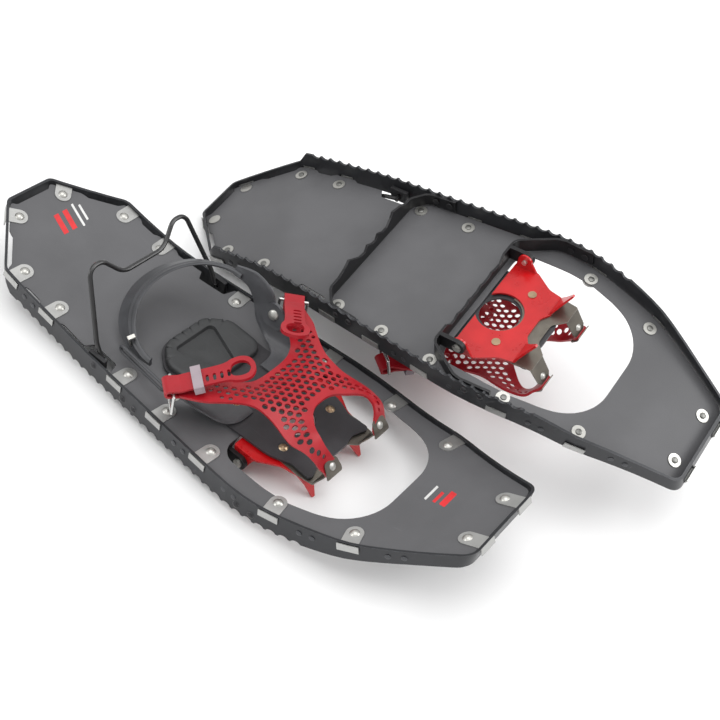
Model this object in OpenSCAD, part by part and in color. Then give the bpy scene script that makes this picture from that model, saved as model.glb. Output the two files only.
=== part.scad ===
// A pair of blade-framed mountain snowshoes with pivoting crampon bindings.
// Each shoe is drawn once in its own frame: X to its side, Y to its toe, Z up from the deck.
// The left shoe stands on its crampon and the right shoe lies upside down beside it.

/* [Frame] */
// Width over the frame blade
shoe_w = 203; // [190:1:250]
// Distance from the cross member to the tail
tail_l = 328; // [300:1:400]
// Distance from the cross member to the toe
toe_l = 245; // [238:1:256]
// Width of the chamfered tail end
tail_flat = 54; // [44:1:70]
// Width over the tail corners
tail_w = 160; // [140:1:180]
// Thickness of the frame blade
blade_t = 2.4; // [1.6:0.1:3.2]
// Height of the blade above the deck plane
blade_up = 4.5; // [3.6:0.1:7]
// Depth of the blade below the deck plane, teeth included
blade_down = 20; // [17:0.5:24]
// Radius of the toe rise
toe_rise_r = 341; // [300:1:500]
// Radius of the tail rise
tail_rise_r = 520; // [400:1:900]

/* [Deck] */
// Thickness of the deck sheet
deck_t = 1.4; // [1:0.1:2]
// Gap between the deck edge and the blade at the toe
deck_gap = 0.8; // [0.4:0.1:3]
// Gap between the deck edge and the blade around the tail
tail_gap = 5; // [2:0.5:8]
// Width of the toe opening
toe_hole_w = 156; // [140:1:160]
// Front end of the toe opening
toe_hole_y = 153; // [140:1:165]
// Distance from the blade face to the deck rivets
rivet_inset = 16; // [14:0.5:20]
// Width of a deck clip
clip_w = 16; // [12:0.5:18]

/* [Cross members] */
// Thickness of the cross member blades
cross_t = 2.4; // [1.6:0.1:3.2]
// Depth of the cross member blades
cross_h = 22; // [20:0.5:22]
// Place of the rear cross member
rear_cross_y = -121; // [-126:1:-112]

/* [Binding] */
// Width between the crampon's hinge ears
ear_w = 118; // [110:1:124]
// Place of the hinge pin ahead of the front cross member
hinge_y = 20; // [18:1:24]
// Depth of the hinge pin below the deck plane
hinge_z = -12; // [-13:0.5:-10]
// Radius of the hinge pins
pin_r = 2.5; // [2:0.1:3]
// Radius of the opening under the ball of the foot
ball_hole_r = 20; // [16:0.5:22]
// Depth of the crampon's front teeth below the deck plane
tooth_z = 26; // [24:0.5:34]
// Radius of the heel strap's loop
heel_r = 60; // [52:1:61]

/* [Heel lift] */
// Radius of the heel lift wire
wire_r = 2.3; // [1.8:0.1:2.8]
// Place of the heel lift pivots
lift_y = -142; // [-146:1:-138]
// Height of the raised wire's corners
lift_h = 84; // [72:1:88]
// Lean of the raised wire towards the tail
lift_lean = 27; // [24:1:36]
// Lean of the folded wire towards the tail
lift_fold = 76; // [70:1:77]

/* [Hidden] */
$fn = 48;
running_gap = 0.05;
assembly_gap = 0.1;
sheet_gap = 0.05;
steel_t = 2;
plate_t = 1.2;
sole_t = 3;
pad_t = 6;
rivet_r = 2;
clip_t = 1;
washer_t = 0.8;
toe_bend_y = 37;
tail_bend_y = -138;
toe_corner_r = 14;
toe_clip_x = 29;
tail_clip_along = 14;
tail_clip_inset = 12;
tail_depth = 8;
toe_depth = 12;
washer_r = 6.6;
tail_corner_y = -tail_l + 58;
tooth_pitch = 12;
tooth_cut_r = 5.5;
cross_top = -3.4;
rear_cross_rivets = [-100, -84.5];
front_cross_rivets = [50, 66];
cross_rivet_z = -10.5;
ear_t = 2;
lug_t = 4;
lug_x = ear_w / 2 + ear_t + 0.4;
crampon_z = -1.6;
crampon_y = 68;
tooth_run = 18;
plate_z = crampon_z + steel_t + sheet_gap;
sole_z = plate_z + plate_t + sheet_gap;
foot_z = sole_z + sole_t + sheet_gap;
front_rivet = [33.7, 43];
rear_rivet = [28.6, -18.8];
tab_x = 34;
tab_y = 86;
tab_tilt = 62;
tab_rise = 17;

// The left shoe stands level on its crampon's teeth.
wider = (shoe_w - 203) / 2;
left_place = [95.4 + wider, -4.6, tooth_z + 0.05];
module at_left() translate(left_place) children();

// The right shoe lies face down, its toe end propped up by its own binding.
// Its binding is the mirror image of the left one.
right_place = [-97.1 - wider, 75.6, tooth_z + 73.8];
right_turn = [169.9, -14.3, -175.2];
module at_right() translate(right_place) rotate(right_turn) mirror([1, 0, 0]) children();

// Plane geometry: corners are [x, y, radius], and a positive inset moves an edge inwards.
function unit(v) = v / norm(v);
function right_of(v) = [v[1], -v[0]];
function turn(a, b) = a[0] * b[1] - a[1] * b[0];
function flat(p) = [p[0], p[1]];
function shifted(p, c, n, d) =
    let (e = unit(flat(c) - flat(p)), g = unit(flat(n) - flat(c)))
    let (m = right_of(e), w = right_of(g))
    let (s = turn(e, g) >= 0 ? -1 : 1)
    let (q = flat(c) - d * (m + w) / (1 + m * w))
    [q[0], q[1], max(0.2, c[2] + s * d)];
function rounded(p, c, n) =
    let (u = unit(flat(p) - flat(c)), w = unit(flat(n) - flat(c)))
    let (half = acos(max(-1, min(1, u * w))) / 2, r = c[2])
    let (o = flat(c) + unit(u + w) * r / sin(half))
    let (a = flat(c) + u * r / tan(half) - o, b = flat(c) + w * r / tan(half) - o)
    let (t = atan2(turn(a, b), a * b))
    let (steps = max(2, ceil(abs(t) / 7), ceil(abs(t) * r / 1200)))
    [for (i = [0:steps]) o + [a[0] * cos(t * i / steps) - a[1] * sin(t * i / steps),
                              a[0] * sin(t * i / steps) + a[1] * cos(t * i / steps)]];
function loop_inset(c, d) =
    [for (i = [0:len(c) - 1]) shifted(c[(i + len(c) - 1) % len(c)], c[i], c[(i + 1) % len(c)], d)];
function loop_points(c) =
    [for (i = [0:len(c) - 1]) each rounded(c[(i + len(c) - 1) % len(c)], c[i], c[(i + 1) % len(c)])];
function both_sides(half) =
    concat(half, [for (i = [len(half) - 1:-1:0]) [-half[i][0], half[i][1], half[i][2]]]);
function path_side(c, d) =
    let (last = len(c) - 1)
    let (m0 = right_of(unit(flat(c[1]) - flat(c[0]))))
    let (m1 = right_of(unit(flat(c[last]) - flat(c[last - 1]))))
    concat([flat(c[0]) - d * m0],
        [for (i = [1:last - 1]) each
            let (v = [for (j = [max(0, i - 1):min(last, i + 1)]) c[j]])
            rounded(i == 1 ? concat(flat(c[0]) - d * m0, [0]) : shifted(c[i - 2], c[i - 1], c[i], d),
                    shifted(v[0], v[1], v[2], d),
                    i == last - 1 ? concat(flat(c[last]) - d * m1, [0])
                                  : shifted(c[i], c[i + 1], c[i + 2], d))],
        [flat(c[last]) - d * m1]);
function reversed(v) = [for (i = [len(v) - 1:-1:0]) v[i]];
module strip(path, t) polygon(concat(path_side(path, t / 2), reversed(path_side(path, -t / 2))));
module shape(corners, inset = 0) polygon(loop_points(loop_inset(corners, inset)));

// Frame outline from the tail flat, round its corner, along the waist and rail to the toe.
frame_half = [[tail_flat / 2, -tail_l, 10], [tail_w / 2, tail_corner_y, 14],
              [tail_w / 2 + 2, -200, 400], [shoe_w / 2 + 2.5, 55, 260],
              [shoe_w / 2 - 15.5, 155, 130], [50, toe_l, toe_corner_r]];
frame_corners = both_sides(frame_half);
rail_table = [for (p = loop_points(frame_corners))
              if (p[0] > 30 && p[1] < toe_l - 30) [p[1], p[0]]];
function rail_x(y) = lookup(y, rail_table);
function rail_angle(y) = -atan((rail_x(y + 6) - rail_x(y - 6)) / 12);

// Side profile: the deck rises along one arc-like curve at each end.
function rise(y) = y > toe_bend_y ? pow(y - toe_bend_y, 2) / (2 * toe_rise_r)
                 : y < tail_bend_y ? pow(y - tail_bend_y, 2) / (2 * tail_rise_r) : 0;
function slope(y) = y > toe_bend_y ? atan((y - toe_bend_y) / toe_rise_r)
                  : y < tail_bend_y ? atan((y - tail_bend_y) / tail_rise_r) : 0;
profile_y = concat([for (i = [0:12]) -tail_l - 6 + (tail_l + 6 + tail_bend_y) * i / 12],
                   [for (i = [0:14]) toe_bend_y + (toe_l + 6 - toe_bend_y) * i / 14]);
module along_x(w = 2 * shoe_w) rotate([90, 0, 90]) linear_extrude(w, center = true) children();
module profile(low, high) polygon(concat([for (y = profile_y) [y, rise(y) + low]],
    [for (i = [len(profile_y) - 1:-1:0]) [profile_y[i], rise(profile_y[i]) + high]]));

// Rivet stations: [edge x, edge y, outward angle, distance from edge to rivet].
tail_way = unit([(tail_w - tail_flat) / 2, tail_corner_y + tail_l]);
stations = concat(
    [[tail_flat / 2 + tail_clip_along * tail_way[0], tail_clip_along * tail_way[1] - tail_l,
      atan2(-tail_way[0], tail_way[1]), tail_clip_inset]],
    [for (y = [tail_corner_y + 10, -210, -112, -58, 0, 82, 155])
        [rail_x(y), y, rail_angle(y), rivet_inset]],
    [[toe_clip_x, toe_l, 90, rivet_inset]]);
function rivet_at(s) = [s[0] - s[3] * cos(s[2]), s[1] - s[3] * sin(s[2])];
function edge_reach(s) = s[3] * (1 + (1 / cos(slope(s[1])) - 1) * abs(sin(s[2])));
module both() {
    children();
    mirror([1, 0, 0]) children();
}
module at_stations() for (s = stations) both()
    translate([rivet_at(s)[0], rivet_at(s)[1], rise(rivet_at(s)[1])])
    rotate([slope(rivet_at(s)[1]), 0, 0]) rotate([0, 0, s[2]]) {
        $reach = edge_reach(s);
        children();
    }
module at_rail(y, z) both() translate([rail_x(y), y, z]) rotate([0, 0, rail_angle(y)]) children();
module rail_hole(start, h) translate([-start, 0, 0]) rotate([0, 90, 0])
    cylinder(r = rivet_r + assembly_gap, h = h);

// A domed rivet along Z: its head sits on z = 0 and its shank reaches down through the grip.
module rivet(grip, head_r = 4.6, foot_t = washer_t, foot_r = 4.2) rotate_extrude() union() {
    translate([0, sheet_gap]) intersection() {
        translate([0, -head_r * 0.75]) circle(head_r * 1.25, $fn = 64);
        square([head_r, head_r]);
    }
    translate([0, -grip - sheet_gap - foot_t]) square([rivet_r, grip + foot_t + 3 * sheet_gap]);
    translate([0, -grip - sheet_gap - foot_t]) square([foot_r, foot_t]);
}

// Frame blade: a wall standing on edge, shallow round the tail and toe, deep along the rails.
depth_table = [[-tail_l - 6, tail_depth], [tail_corner_y - 1, tail_depth], [tail_corner_y + 8, blade_down],
               [115, blade_down], [toe_l - 35, toe_depth], [toe_l + 6, toe_depth]];
blade_y = concat([for (y = profile_y) if (y < tail_corner_y - 4) y], [tail_corner_y - 1, tail_corner_y + 8],
                 [for (y = profile_y) if (y > tail_corner_y + 12) y]);
module blade_profile() polygon(concat([for (y = blade_y) [y, rise(y) - lookup(y, depth_table)]],
    [for (i = [len(profile_y) - 1:-1:0]) [profile_y[i], rise(profile_y[i]) + blade_up]]));
module frame_blade() color([0.16, 0.16, 0.17]) difference() {
    intersection() {
        translate([0, 0, -40]) linear_extrude(160) difference() {
            shape(frame_corners);
            shape(frame_corners, blade_t);
        }
        along_x() difference() {
            blade_profile();
            for (y = [tail_corner_y + 22:tooth_pitch:112])
                translate([y, rise(y) - blade_down - tooth_cut_r * 0.45]) circle(tooth_cut_r);
        }
    }
    at_stations() {
        translate([$reach - 8, -clip_w / 2 - 0.6, -2.2]) cube([14, clip_w + 1.2, 4.4]);
        translate([$reach - 0.4, -10.6, -4.8]) cube([6, 21.2, 8.4]);
    }
    for (y = concat(rear_cross_rivets, front_cross_rivets)) at_rail(y, cross_rivet_z) rail_hole(6, 12);
    at_rail(lift_y, -3) rail_hole(6, 12);
}

// Deck sheet: follows the frame, with the toe opening and a recess beside each heel lift pivot.
toe_hole_half = [[toe_hole_w / 2 - 1, 6, 17], [toe_hole_w / 2 + 1.5, 85, 150], [58, toe_hole_y, 52]];
module deck_plan() difference() {
    union() {
        intersection() {
            shape(frame_corners, blade_t + deck_gap);
            translate([-shoe_w, -95]) square([2 * shoe_w, 400]);
        }
        shape(frame_corners, blade_t + tail_gap);
        intersection() {
            shape(frame_corners, blade_t + deck_gap);
            for (s = stations) both() translate([s[0], s[1]]) rotate(s[2])
                translate([-s[3], -clip_w / 2 - 2]) square([s[3], clip_w + 4]);
        }
    }
    shape(both_sides(toe_hole_half));
    both() translate([lift_foot_x - lift_side - wire_r - 0.6, lift_y - 18]) square([40, 34]);
    for (s = stations) both() translate(rivet_at(s)) circle(rivet_r + 0.8);
}
module deck() color([0.44, 0.44, 0.46]) intersection() {
    translate([0, 0, -20]) linear_extrude(120) deck_plan();
    along_x() profile(-deck_t / 2, deck_t / 2);
}

// Deck clips: a steel leaf riveted on the deck and led out through the blade's slot to a plate.
clip_z = deck_t / 2 + sheet_gap;
module clip_leaf() difference() {
    union() {
        cylinder(r = clip_w / 2, h = clip_t);
        translate([0, -clip_w / 2, 0]) cube([$reach + 0.3, clip_w, clip_t]);
    }
    translate([0, 0, -1]) cylinder(r = rivet_r + assembly_gap, h = clip_t + 2);
}
module deck_clips() color([0.75, 0.75, 0.74]) at_stations() union() {
    translate([0, 0, clip_z]) clip_leaf();
    translate([$reach + 0.2, -9.8, -3.9]) cube([clip_t, 19.6, 7]);
}
module deck_rivets() color([0.8, 0.8, 0.8]) at_stations()
    translate([0, 0, clip_z + clip_t]) rivet(clip_z + clip_t + deck_t / 2, 4.6, washer_t, washer_r);

// Cross members: toothed blades under the deck whose ends turn forward along the rails.
function beside_rail(y) = rail_x(y) - blade_t - cross_t / 2 - assembly_gap;
rear_path_half = [[beside_rail(-78), -78, 0], [beside_rail(-108), -108, 14],
                  [beside_rail(-112) - 16, rear_cross_y, 12]];
front_path_half = [[beside_rail(74), 74, 0], [beside_rail(38), 38, 24], [lug_x + lug_t + 8, 0, 10]];
rear_teeth = [[-90, -17], [-61, -17], [-52, -22], [-38, -25.4], [-34, -20], [-26, -13.5], [-19, -14],
              [-11, -18.5], [-7, -13], [-1, -13.5], [7, -18.5], [12, -12.5], [21, -14], [38, -25.4],
              [45, -21], [56, -17], [90, -17]];
front_teeth = [[-100, -18.9], [-52, -18.9], [-44, -11.5], [-35, -12], [-29, -14.5], [-23, -12], [-15, -12],
               [-9, -14.5], [-3, -12], [6, -12], [12, -14.5], [18, -12], [26, -12], [32, -14.5],
               [38, -12], [44, -11.5], [52, -18.9], [100, -18.9]];
module cross_member(half, teeth) difference() {
    translate([0, 0, cross_top - cross_h]) linear_extrude(cross_h)
        strip(concat(half, [for (p = reversed(half)) [-p[0], p[1], p[2]]]), cross_t);
    rotate([90, 0, 0]) linear_extrude(400, center = true)
        polygon(concat(teeth, [[110, -40], [-110, -40]]));
    children();
}
module rail_holes(ys) for (y = ys) at_rail(y, cross_rivet_z) rail_hole(12, 14);
module rear_cross_member() color([0.12, 0.12, 0.13])
    cross_member(rear_path_half, rear_teeth) rail_holes(rear_cross_rivets);
module front_cross_member() color([0.12, 0.12, 0.13])
    cross_member(front_path_half, front_teeth) rail_holes(front_cross_rivets);
module cross_member_rivets() color([0.3, 0.3, 0.31])
    for (y = concat(rear_cross_rivets, front_cross_rivets)) at_rail(y, cross_rivet_z)
    translate([0.1, 0, 0]) rotate([0, 90, 0]) rivet(blade_t + cross_t + 0.8, 3.6, washer_t, 3.4);

// Hinge lugs stand ahead of the front cross member and carry the binding's two pins.
module hinge_profile(rear_y, r) {
    translate([hinge_y, hinge_z]) circle(r);
    translate([rear_y, hinge_z - r]) square([hinge_y - rear_y, 2 * r]);
}
module hinge_lugs() color([0.1, 0.1, 0.11]) both() difference() {
    translate([lug_x + lug_t / 2, 0, 0]) along_x(lug_t) hinge_profile(cross_t / 2 + 0.05, 7.5);
    translate([lug_x - 1, hinge_y, hinge_z]) rotate([0, 90, 0]) cylinder(r = pin_r + 0.02, h = lug_t + 2);
}
module hinge_pins() color([0.7, 0.7, 0.7]) both() translate([ear_w / 2 - 3, hinge_y, hinge_z])
    rotate([0, 90, 0]) union() {
        cylinder(r = pin_r, h = lug_x - ear_w / 2 + lug_t + 5);
        translate([0, 0, lug_x - ear_w / 2 + lug_t + 3.1]) cylinder(r = pin_r + 1.8, h = 1.6);
    }

// Crampon: a pressed steel plate with hinge ears, side flanges and two long front teeth.
crampon_half = [[ear_w / 2 + ear_t, 9, 2], [ear_w / 2 + ear_t, 34, 10], [48, 54, 14],
                [45, crampon_y + 2, 3], [21, crampon_y + 2, 3], [12, crampon_y - 4, 10]];
module crampon() color([0.85, 0.07, 0.1]) difference() {
    union() {
        translate([0, 0, crampon_z]) linear_extrude(steel_t) shape(both_sides(crampon_half));
        both() translate([ear_w / 2 + ear_t / 2, 0, 0]) along_x(ear_t) union() {
            translate([hinge_y, hinge_z]) circle(7.5);
            polygon([[9.5, crampon_z + 0.5], [hinge_y - 7.4, hinge_z], [hinge_y + 7.4, hinge_z],
                     [hinge_y + 13, crampon_z + 0.5]]);
        }
        both() translate([0, crampon_y, crampon_z + steel_t / 2])
            rotate([-atan2(tooth_z - 0.6, tooth_run), 0, 0]) translate([0, 0, -steel_t / 2])
            linear_extrude(steel_t)
                polygon([[20, -0.3], [45, -0.3], [39, 16], [36, 30.4], [33, 30.4], [27, 14]]);
    }
    translate([0, 27, crampon_z - 1]) cylinder(r = ball_hole_r + 3.5, h = steel_t + 2);
    both() translate([ear_w / 2 - 1, hinge_y, hinge_z]) rotate([0, 90, 0])
        cylinder(r = pin_r + running_gap, h = ear_t + 2);
    both() translate([front_rivet[0], front_rivet[1], crampon_z - 1])
        cylinder(r = rivet_r + assembly_gap, h = steel_t + 2);
}

// Front plate: stainless sheet between crampon and sole, its corners bent up for the toe strap.
plate_half = [[44, 30, 3], [46, 70, 5], [44, 87, 2], [23, 87, 2], [12, 76, 8]];
module front_plate() color([0.47, 0.44, 0.4]) difference() {
    union() {
        translate([0, 0, plate_z]) linear_extrude(plate_t) shape(both_sides(plate_half));
        both() translate([tab_x, tab_y, plate_z]) rotate([tab_tilt, 0, 0])
            linear_extrude(plate_t) polygon([[-11, 0], [10, 0], [9, tab_rise + 2], [3, tab_rise + 8],
                                             [-5, tab_rise + 8], [-10, tab_rise + 2]]);
    }
    translate([0, 27, plate_z - 1]) cylinder(r = ball_hole_r + 1.5, h = plate_t + 2);
    both() translate([front_rivet[0], front_rivet[1], plate_z - 1])
        cylinder(r = rivet_r + assembly_gap, h = plate_t + 2);
    both() translate([tab_x, tab_y, plate_z]) rotate([tab_tilt, 0, 0])
        translate([0, tab_rise, -1]) cylinder(r = rivet_r + assembly_gap, h = plate_t + 2);
}

// Harness base: a rubber sole that runs from the notched toe edge to the heel pad.
sole_half = [[28, -114, 18], [47, -92, 20], [45, -45, 40], [52, -8, 30], [50, 40, 40],
             [42, 60, 4], [44, 84, 4], [24, 77, 4], [12, 80, 6]];
module harness_base() color([0.2, 0.2, 0.21]) difference() {
    translate([0, 0, sole_z]) linear_extrude(sole_t) shape(both_sides(sole_half));
    translate([0, 27, sole_z - 1]) cylinder(r = ball_hole_r, h = sole_t + 2);
    for (p = [front_rivet, rear_rivet]) both() translate([p[0], p[1], sole_z - 1])
        cylinder(r = rivet_r + assembly_gap, h = sole_t + 2);
}
module base_rivets() color([0.6, 0.5, 0.38]) both() {
    translate([front_rivet[0], front_rivet[1], sole_z + sole_t]) rivet(sole_z + sole_t - crampon_z, 4.6);
    translate([rear_rivet[0], rear_rivet[1], foot_z + 2]) rivet(foot_z + 2 - sole_z, 4.2, 0.6, 4);
}

// Heel pad: a rimmed rubber block with a sunk three-cornered centre.
pad_half = [[26, -112, 18], [44, -92, 18], [42, -48, 14]];
module heel_pad() color([0.23, 0.23, 0.24]) translate([0, 0, foot_z]) difference() {
    linear_extrude(pad_t) shape(both_sides(pad_half));
    translate([0, 0, pad_t - 3]) linear_extrude(6)
        shape([[-22, -98, 6], [22, -98, 6], [6, -60, 5], [-6, -60, 5]]);
}

// Side wings: rubber ears folded up from the sole to hold the heel strap.
module bead(p, r = 1.4) translate(p) sphere(r, $fn = 12);
module wing_foot() translate([24, -36, foot_z]) difference() {
    cube([27, 34, 2]);
    translate([rear_rivet[0] - 24, rear_rivet[1] + 36, -1]) cylinder(r = rivet_r + assembly_gap, h = 4);
}
module side_wings() color([0.19, 0.19, 0.2]) {
    union() {
        mirror([1, 0, 0]) wing_foot();
        hull() {
            bead([-50, -34, 6.4]);
            bead([-50, -5, 6.4]);
            bead([-66, -70, 20]);
            bead([-67, -48, 29]);
        }
        hull() {
            bead([-66, -70, 20]);
            bead([-67, -48, 29]);
            bead([-66, -106, 44]);
            bead([-67, -102, 60]);
        }
    }
    union() {
        wing_foot();
        hull() {
            bead([50, -34, 6.4]);
            bead([50, -5, 6.4]);
            bead([75, -66, 11]);
            bead([75, -48, 22]);
        }
    }
}

// Toe strap: a springy perforated X over the foot, with a pull strap folded back on each arm.
pull_low = [78, -48, 45];
pull_high = [28, -9, 65];
pull_way = unit(pull_high - pull_low);
pull_turn = atan2(pull_way[1], pull_way[0]);
pull_slope = asin(pull_way[2]);
strap_half = 9.5;
function across(p, s, z) =
    [p[0] - s * strap_half * sin(pull_turn), p[1] + s * strap_half * cos(pull_turn), z];
module fold(a, za, b, zb) hull() for (s = [-1, 1]) {
    bead(across(a, s, za));
    bead(across(b, s, zb));
}
module toe_strap() color([0.8, 0.06, 0.1]) union() {
    hull() both() {
        bead([23, 60, 45]);
        bead([50, 38, 40]);
        bead([50, 11, 44.5]);
        bead([30, -11, 40]);
    }
    both() {
        hull() {
            bead([22, 58, 45]);
            bead([50, 40, 40]);
            bead([35, 80, 46]);
            bead([50, 78, 37]);
        }
        hull() {
            bead([35, 80, 46]);
            bead([50, 78, 37]);
            bead([27, 95, 26]);
            bead([43, 95, 26]);
        }
        hull() {
            bead([50, 10, 44]);
            bead([29, -10, 40]);
            bead(across(pull_low, -1, 38));
            bead(across(pull_low, 1, 38));
        }
        fold(pull_low, 38, pull_low, pull_low[2]);
        fold(pull_low, pull_low[2], pull_high, pull_high[2]);
    }
}
module tab_rivets() color([0.7, 0.66, 0.6]) both() translate([tab_x, tab_y, plate_z])
    rotate([tab_tilt, 0, 0]) translate([0, tab_rise, 0]) rotate([180, 0, 0])
        rivet(plate_t + 0.6, 3.6, 0.5, 3.4);

// Wire buckles: rectangular rings that join the strap's folded ends to the wings.
module ring(w, h, r) {
    for (s = [-1, 1]) {
        translate([0, s * w / 2, 0]) cylinder(r = r, h = h, center = true);
        translate([0, 0, s * h / 2]) rotate([90, 0, 0]) cylinder(r = r, h = w, center = true);
        for (v = [-1, 1]) translate([0, s * w / 2, v * h / 2]) sphere(r);
    }
}
buckle_out = 6.4;
buckle_h = 20;
buckle_top = pull_low[2] - 3;
module buckle() translate([pull_low[0] - buckle_out * cos(pull_turn),
                            pull_low[1] - buckle_out * sin(pull_turn), buckle_top - buckle_h / 2])
    rotate([0, 0, pull_turn]) ring(2 * strap_half + 8, buckle_h, 1.5);
module outer_buckle() color([0.72, 0.72, 0.72]) buckle();
module inner_buckle() color([0.72, 0.72, 0.72]) mirror([1, 0, 0]) buckle();

// Strap keeper: a clear loop that slides along the outer pull strap.
keeper_place = 16;
module strap_keeper() color([0.6, 0.6, 0.62]) translate(pull_low + keeper_place * pull_way)
    rotate([0, 0, pull_turn]) rotate([0, -pull_slope, 0]) rotate([0, 90, 0])
    linear_extrude(9, center = true) difference() {
        square([8.4, 2 * strap_half + 7], center = true);
        square([5, 2 * strap_half + 3.8], center = true);
    }

// Heel strap: a rubber band looped behind the heel, high at one end and low at the other.
heel_tilt = 17;
module at_heel() translate([0, -103, 35]) rotate([0, heel_tilt, 0]) children();
module heel_strap() color([0.2, 0.2, 0.21]) at_heel() rotate([0, 0, 180])
    rotate_extrude(angle = 180, $fn = 96) translate([heel_r, -8]) square([3, 16]);
module heel_strap_link() color([0.17, 0.17, 0.18]) translate([66.8, -101, 13.5])
    rotate([0, 0, 84]) rotate([90, 0, 0]) linear_extrude(2.6, center = true) difference() {
        square([66, 11], center = true);
        square([58, 5], center = true);
    }
module heel_strap_pin() color([0.75, 0.73, 0.68]) at_heel() rotate([0, 0, -22])
    translate([heel_r + 1.5, 0, 0]) difference() {
        cube([7, 4, 20], center = true);
        cube([4.4, 6, 17], center = true);
    }

// Heel lift: a wire bail whose feet turn in blocks on the rails, raised on the left shoe
// and folded down on the right one.
lift_foot_x = rail_x(lift_y - 10) - blade_t - 2;
lift_dip = 20;
lift_side = wire_r + 2.7;
lift_path = [[lift_foot_x - lift_side, 0, 0], [lift_foot_x - lift_side, 16, 24], [61, lift_h, 11],
             [45, lift_h, 12], [26, lift_h - lift_dip, 20], [0, lift_h - lift_dip, 1]];
lift_centre = concat([[lift_path[0][0], 0]],
    [for (i = [1:len(lift_path) - 2]) each rounded(lift_path[i - 1], lift_path[i], lift_path[i + 1])]);
lift_line = concat(lift_centre, [for (p = reversed(lift_centre)) [-p[0], p[1]]]);
module flat_tube(line, r, sides = 12) {
    last = len(line) - 1;
    rings = [for (i = [0:last])
        let (a = unit(line[min(last, i + 1)] - line[max(0, i - 1)]))
        let (u = unit(line[min(last, i + 1)] - line[min(last - 1, i)]))
        [for (k = [0:sides - 1]) let (n = r * cos(360 * k / sides) / max(0.7, a * u))
            [line[i][0] + n * a[1], r * sin(360 * k / sides), line[i][1] - n * a[0]]]];
    polyhedron([for (ring = rings) each ring], concat(
        [[for (k = [0:sides - 1]) k], [for (k = [sides - 1:-1:0]) last * sides + k]],
        [for (i = [0:last - 1], k = [0:sides - 1]) let (n = (k + 1) % sides)
            [i * sides + k, (i + 1) * sides + k, (i + 1) * sides + n, i * sides + n]]));
}
module heel_lift(lean) color([0.08, 0.08, 0.09]) translate([0, lift_y, 0]) rotate([lean, 0, 0]) union() {
    flat_tube(lift_line, wire_r);
    both() translate([lift_foot_x - lift_side - wire_r, 0, 0]) rotate([0, 90, 0])
        cylinder(r = wire_r, h = lift_side + wire_r - 0.4);
}
module heel_lift_wire() heel_lift(lift_lean);
module folded_lift_wire() heel_lift(lift_fold);
module lift_pivot_blocks() color([0.09, 0.09, 0.1]) both() difference() {
    translate([lift_foot_x - 2.4, lift_y - 10, -9]) cube([4, 20, 15]);
    translate([lift_foot_x - 4, lift_y, 0]) rotate([0, 90, 0]) cylinder(r = wire_r + running_gap, h = 4);
    at_rail(lift_y, -3) rail_hole(8, 8);
}
module lift_rivets() color([0.3, 0.3, 0.31]) at_rail(lift_y, -3) translate([0.1, 0, 0])
    rotate([0, 90, 0]) rivet(blade_t + 1.6, 3.6, 0.1, rivet_r);

at_left() frame_blade();  // left_frame_blade
at_left() deck();  // left_deck
at_left() deck_clips();  // left_deck_clips
at_left() deck_rivets();  // left_deck_rivets
at_left() rear_cross_member();  // left_rear_cross_member
at_left() front_cross_member();  // left_front_cross_member
at_left() cross_member_rivets();  // left_cross_member_rivets
at_left() hinge_lugs();  // left_hinge_lugs
at_left() hinge_pins();  // left_hinge_pins
at_left() crampon();  // left_crampon
at_left() front_plate();  // left_front_plate
at_left() harness_base();  // left_harness_base
at_left() base_rivets();  // left_base_rivets
at_left() heel_pad();  // left_heel_pad
at_left() side_wings();  // left_side_wings
at_left() toe_strap();  // left_toe_strap
at_left() tab_rivets();  // left_tab_rivets
at_left() outer_buckle();  // left_outer_buckle
at_left() inner_buckle();  // left_inner_buckle
at_left() strap_keeper();  // left_strap_keeper
at_left() heel_strap();  // left_heel_strap
at_left() heel_strap_link();  // left_heel_strap_link
at_left() heel_strap_pin();  // left_heel_strap_pin
at_left() heel_lift_wire();  // left_heel_lift_wire
at_left() lift_pivot_blocks();  // left_lift_pivot_blocks
at_left() lift_rivets();  // left_lift_rivets
at_right() frame_blade();  // right_frame_blade
at_right() deck();  // right_deck
at_right() deck_clips();  // right_deck_clips
at_right() deck_rivets();  // right_deck_rivets
at_right() rear_cross_member();  // right_rear_cross_member
at_right() front_cross_member();  // right_front_cross_member
at_right() cross_member_rivets();  // right_cross_member_rivets
at_right() hinge_lugs();  // right_hinge_lugs
at_right() hinge_pins();  // right_hinge_pins
at_right() crampon();  // right_crampon
at_right() front_plate();  // right_front_plate
at_right() harness_base();  // right_harness_base
at_right() base_rivets();  // right_base_rivets
at_right() heel_pad();  // right_heel_pad
at_right() side_wings();  // right_side_wings
at_right() toe_strap();  // right_toe_strap
at_right() tab_rivets();  // right_tab_rivets
at_right() outer_buckle();  // right_outer_buckle
at_right() inner_buckle();  // right_inner_buckle
at_right() strap_keeper();  // right_strap_keeper
at_right() heel_strap();  // right_heel_strap
at_right() heel_strap_link();  // right_heel_strap_link
at_right() heel_strap_pin();  // right_heel_strap_pin
at_right() folded_lift_wire();  // right_heel_lift_wire
at_right() lift_pivot_blocks();  // right_lift_pivot_blocks
at_right() lift_rivets();  // right_lift_rivets
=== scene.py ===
import math

import bpy
import numpy as np
from mathutils import Matrix, Vector
from mathutils.geometry import delaunay_2d_cdt


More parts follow.
